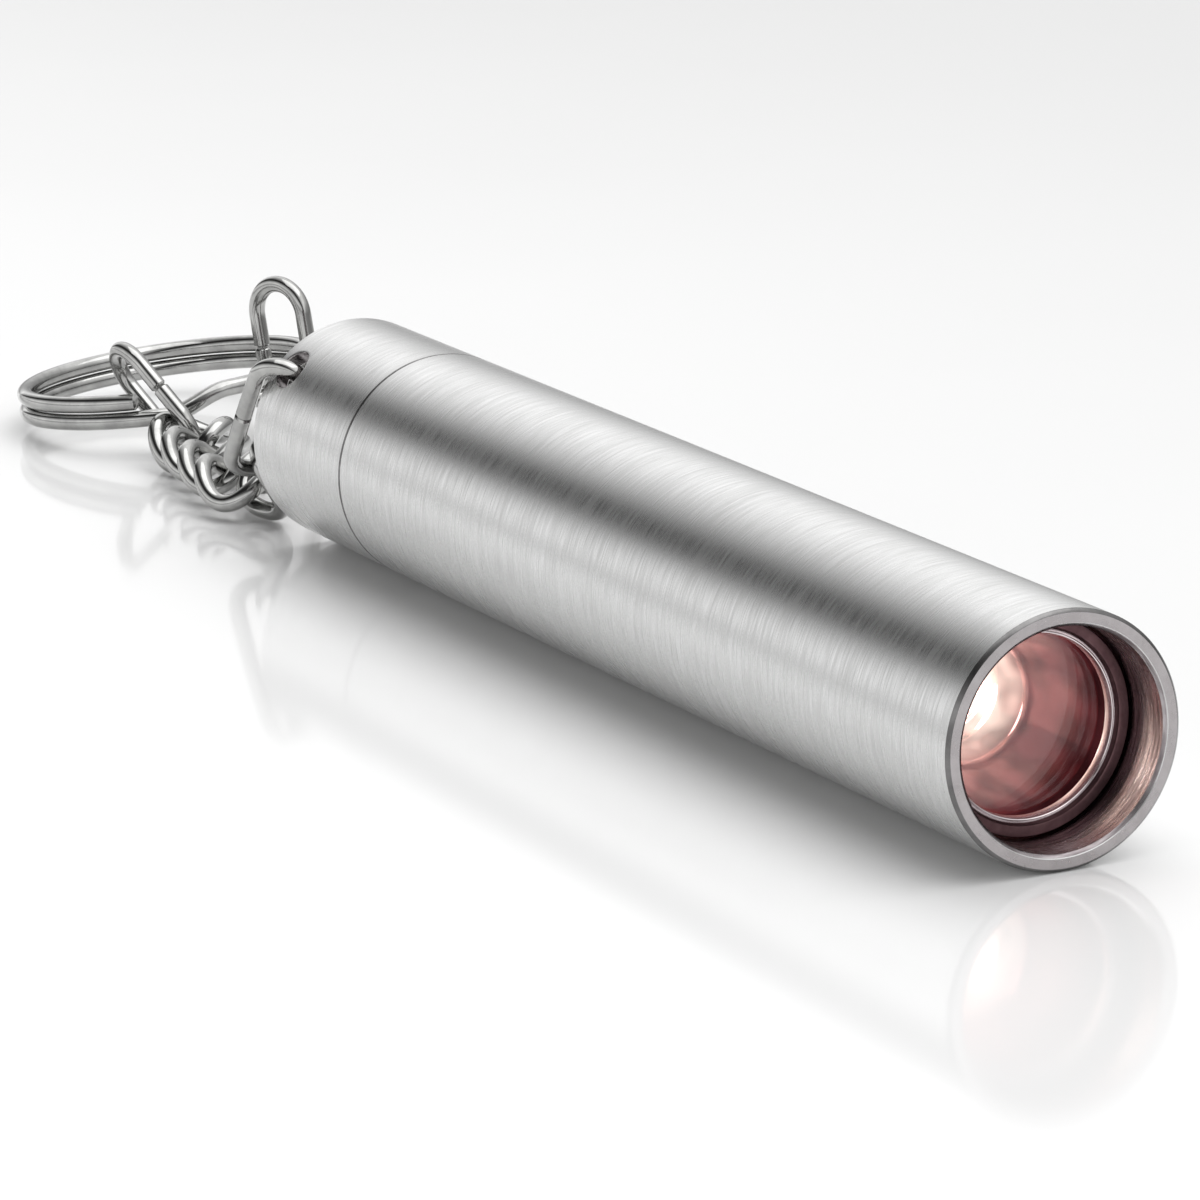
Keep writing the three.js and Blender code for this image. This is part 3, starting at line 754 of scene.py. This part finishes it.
def straight_loop(length, width, twist=0.0, steps=120):
    """A loop with straight sides and round ends, and a butt gap in the middle of its +Y side.
    It twists by so many degrees from its -X end to its +X end."""
    radius = width / 2
    straight = length - width
    bend = math.pi * radius
    around = 2 * (straight + bend)

    def end_point(distance, end):
        turn = distance / radius
        return end * (straight / 2 + radius * math.sin(turn)), end * radius * math.cos(turn)

    def flat_point(distance):
        if distance < straight / 2:
            return distance, radius
        distance -= straight / 2
        if distance < bend:
            return end_point(distance, 1)
        distance -= bend
        if distance < straight:
            return straight / 2 - distance, -radius
        distance -= straight
        if distance < bend:
            return end_point(distance, -1)
        return distance - bend - straight / 2, radius

    points = []
    for i in range(steps + 1):
        u, v = flat_point(BUTT_GAP / 2 + i / steps * (around - BUTT_GAP))
        roll = math.radians(twist) * (u / length + 0.5)
        points.append(Vector((u, v * math.cos(roll), v * math.sin(roll))))
    return points


def set_down(points, centre, along, across):
    """Points of a loop about its own middle, put where it lies."""
    x = Vector(along).normalized()
    y = Vector(across)
    y = (y - x * x.dot(y)).normalized()
    turn = Matrix((x, y, x.cross(y))).transposed()
    return [at(*(turn @ p + Vector(centre))) for p in points]


def loop_piece(name, node, points, radius, centre, along, across):
    line = set_down(points, centre, along, across)
    tube_along(name, line, radius * MM, chrome_wire, node, node, WIRE_SIDES)


loop_piece(
    "cap_link", "end_link", straight_loop(17.3, 5.4, twist=-37), JUMP_WIRE,
    (-137.8, -7.5, 12.13), (-0.697, 0.071, -0.713), (-0.485, -0.779, 0.397),
)
# Each curb link's centre, the way it points and its broad side.
CURB_PLACES = (
    ((-145.33, -4.83, 4.85), (0.957, -0.285, -0.047), (0.079, 0.104, 0.991)),
    ((-150.2, -5.5, 3.2), (0.99, -0.16, 0), (0.16, 0.99, 0)),
    ((-156.9, -4.4, 3.2), (0.99, -0.16, 0), (0.16, 0.99, 0)),
    ((-163.6, -3.3, 3.2), (0.99, -0.16, 0), (0.16, 0.99, 0)),
    ((-169.8, -2, 3.4), (0.96, -0.27, -0.08), (0.28, 0.94, 0.19)),
)
for number, (centre, along, across) in enumerate(CURB_PLACES, 1):
    loop_piece(
        f"curb_link_{number}", f"chain_link_{number}", curb_loop(8.8, 7.5, 1.45), LINK_WIRE,
        centre, along, across,
    )
loop_piece(
    "jump_loop", "jump_ring", straight_loop(13.2, 6.2), JUMP_WIRE,
    (-176.9, -3, 6.1), (0.62, 0.37, -0.69), (0.78, -0.18, 0.6),
)
loop_piece(
    "hanger_loop", "hanger_ring", straight_loop(13.4, 6.6), JUMP_WIRE,
    (-179.7, 13.2, 9.5), (-0.12, -0.09, 0.99), (-0.91, -0.39, -0.14),
)

KEY_RING_RADIUS = 15.46
KEY_RING_WIRE = 0.88
KEY_RING_PITCH = 1.86
KEY_RING_MIDDLE = (-190.6, 4.6, 4.6)
KEY_RING_TILT_X = math.radians(4.5)
KEY_RING_TILT_Y = math.radians(-5)


def split_ring():
    """One wire wound twice round: each turn lies flat, and a short step joins them."""
    step_start, ends = 0.93, 0.03
    tilt = Matrix.Rotation(KEY_RING_TILT_X, 3, "X") @ Matrix.Rotation(KEY_RING_TILT_Y, 3, "Y")
    middle = Vector(KEY_RING_MIDDLE)
    steps = 300
    points = []
    for i in range(steps + 1):
        turns = ends + i / steps * (2 - 2 * ends - (1 - step_start))
        share = min(1.0, max(0.0, (turns - step_start) / (1 - step_start)))
        climb = share * share * (3 - 2 * share)
        turn = turns * 2 * math.pi
        flat = Vector((
            KEY_RING_RADIUS * math.cos(turn),
            KEY_RING_RADIUS * math.sin(turn),
            KEY_RING_PITCH * (climb - 0.5),
        ))
        points.append(at(*(tilt @ flat + middle)))
    tube_along(
        "key_ring", points, KEY_RING_WIRE * MM, chrome_wire,
        "split_ring", "split_ring", WIRE_SIDES,
    )


split_ring()

# ---- Pieces kept from the CAD part ----
FINISHES = {
    "lens": lens_glass,
    "led_board": board_white,
    "light_engine_housing": brass,
    "driver_board": board_green,
    "driver_inductor": component_black,
    "driver_chip": component_black,
    "driver_capacitor_1": ceramic,
    "driver_capacitor_2": ceramic,
    "positive_contact_post": brass,
    "led_lead_positive": lead_red,
    "led_lead_negative": lead_black,
    "battery_can": nickel,
    "battery_sleeve": cell_wrap,
    "battery_insulator_ring": fibre_card,
    "battery_button": nickel,
    "tail_contact_disc": brass,
    "tail_contact_ring": brass,
    "tail_spring": gold_spring,
}
for node, material in FINISHES.items():
    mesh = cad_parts[node].data
    mesh.materials.clear()
    mesh.materials.append(material)

# ---- Table ----
floor_material, floor_nodes, floor_links, floor_shader = new_material("table_gloss")
floor_shader.inputs["IOR"].default_value = 1.5
haze = grain(floor_nodes, floor_links, (6.0, 6.0, 6.0))
floor_links.new(
    two_tone(floor_nodes, floor_links, haze, 0.2, 0.8, (0.87, 0.87, 0.87), (0.90, 0.90, 0.90)),
    floor_shader.inputs["Base Color"],
)
floor_links.new(
    remap(floor_nodes, floor_links, haze, 0.2, 0.8, 0.07, 0.1),
    floor_shader.inputs["Roughness"],
)
TABLE_SIZE = 30
TABLE_CLEARANCE = 0.00002
bpy.ops.mesh.primitive_plane_add(size=TABLE_SIZE, location=(0, 0, -TABLE_CLEARANCE))
table = bpy.context.object
table.name = "table"
table.data.materials.append(floor_material)

# ---- Light: long softboxes beside the tube, drawn on the sky by their angle round X, and one lamp above ----
world = bpy.data.worlds.new("studio")
bpy.context.scene.world = world
world.use_nodes = True
sky_nodes, sky_links = world.node_tree.nodes, world.node_tree.links
direction = sky_nodes.new("ShaderNodeTexCoord")
axes = sky_nodes.new("ShaderNodeSeparateXYZ")
sky_links.new(direction.outputs["Generated"], axes.inputs["Vector"])
near_side = sky_nodes.new("ShaderNodeMath")
near_side.operation = "MULTIPLY"
near_side.inputs[1].default_value = -1.0
sky_links.new(axes.outputs["Y"], near_side.inputs[0])
angle_round_x = sky_nodes.new("ShaderNodeMath")
angle_round_x.operation = "ARCTAN2"
sky_links.new(axes.outputs["Z"], angle_round_x.inputs[0])
sky_links.new(near_side.outputs[0], angle_round_x.inputs[1])
share = remap(sky_nodes, sky_links, angle_round_x.outputs[0], 0.0, math.pi, 0.0, 1.0)
sky = sky_nodes.new("ShaderNodeValToRGB")
# (Degrees from the -Y horizon over the top to the +Y horizon, brightness).
SKY = (
    (0, 0.35), (5, 1.00), (11, 1.35), (20, 1.20), (30, 0.70), (40, 0.15), (48, 0.02), (56, 0.04),
    (66, 0.35), (80, 0.80), (96, 1.25), (112, 1.50), (128, 1.42), (146, 0.92), (164, 0.52), (180, 0.32),
)
set_stops(sky, [(degrees / 180, (level, level, level)) for degrees, level in SKY])
sky_links.new(share, sky.inputs["Fac"])
sky_links.new(sky.outputs["Color"], sky_nodes["Background"].inputs["Color"])
sky_nodes["Background"].inputs["Strength"].default_value = 1.0


def softbox(name, place, target, size, energy):
    light = bpy.data.lights.new(name, "AREA")
    light.shape = "RECTANGLE"
    light.size, light.size_y = size
    light.energy = energy
    lamp = bpy.data.objects.new(name, light)
    lamp.location = place
    lamp.rotation_mode = "QUATERNION"
    lamp.rotation_quaternion = (Vector(target) - Vector(place)).to_track_quat("-Z", "Y")
    bpy.context.scene.collection.objects.link(lamp)


softbox("overhead", (0.1, 0.1, 1.3), (0, 0, 0), (1.4, 1.4), 8.4)

# ---- Camera ----
CAMERA_LENS = 195
CAMERA_SENSOR = 36
CAMERA_PLACE = (432.94, -262.76, 152.17)
CAMERA_RIGHT = Vector((0.45867, 0.88841, -0.01867))
CAMERA_AHEAD = Vector((-0.86317, 0.44046, -0.24684))
camera_data = bpy.data.cameras.new("camera")
camera_data.lens = CAMERA_LENS
camera_data.sensor_width = CAMERA_SENSOR
camera = bpy.data.objects.new("camera", camera_data)
ahead = CAMERA_AHEAD.normalized()
right = (CAMERA_RIGHT - ahead * CAMERA_RIGHT.dot(ahead)).normalized()
turn = Matrix((right, right.cross(ahead), -ahead)).transposed()
camera.matrix_world = Matrix.Translation(at(*CAMERA_PLACE)) @ turn.to_4x4()
bpy.context.scene.collection.objects.link(camera)
bpy.context.scene.camera = camera
bpy.context.scene.view_settings.view_transform = "Standard"
